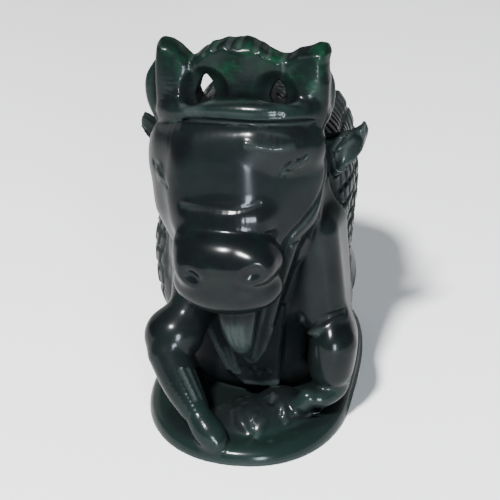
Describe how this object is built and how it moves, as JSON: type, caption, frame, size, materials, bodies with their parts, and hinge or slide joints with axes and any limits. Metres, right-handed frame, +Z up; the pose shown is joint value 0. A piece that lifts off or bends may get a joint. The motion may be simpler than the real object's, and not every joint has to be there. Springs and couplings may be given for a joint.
{
  "type": "jade animal figurine",
  "caption": "Recumbent horned beast with a scaled coat, carved from dark green jade on an oval plinth, with a flat underside to stand on.",
  "frame": {"origin": "centre of the plinth's underside", "axes": "+Z up, the beast faces -Y, its left side is +X"},
  "size_m": [0.0538, 0.084, 0.0989],
  "materials": {
    "jade": "polished"
  },
  "bodies": {
    "root": {"plinth": "jade", "rockwork": "jade", "barrel": "jade", "spine_ridge": "jade", "chest": "jade", "neck": "jade", "dewlap": "jade", "skull": "jade", "brow_roll": "jade", "crest": "jade", "horn_left": "jade", "horn_right": "jade", "ear_left": "jade", "ear_right": "jade", "muzzle": "jade", "jaw": "jade", "beard": "jade", "shoulder_left": "jade", "shoulder_right": "jade", "foreleg_left": "jade", "foreleg_right": "jade", "shank_left": "jade", "shank_right": "jade", "hoof_left": "jade", "hoof_right": "jade", "haunch_left": "jade", "haunch_right": "jade", "hind_shank_left": "jade", "hind_shank_right": "jade", "hind_foot_left": "jade", "hind_foot_right": "jade", "tail": "jade"}
  },
  "joints": []
}
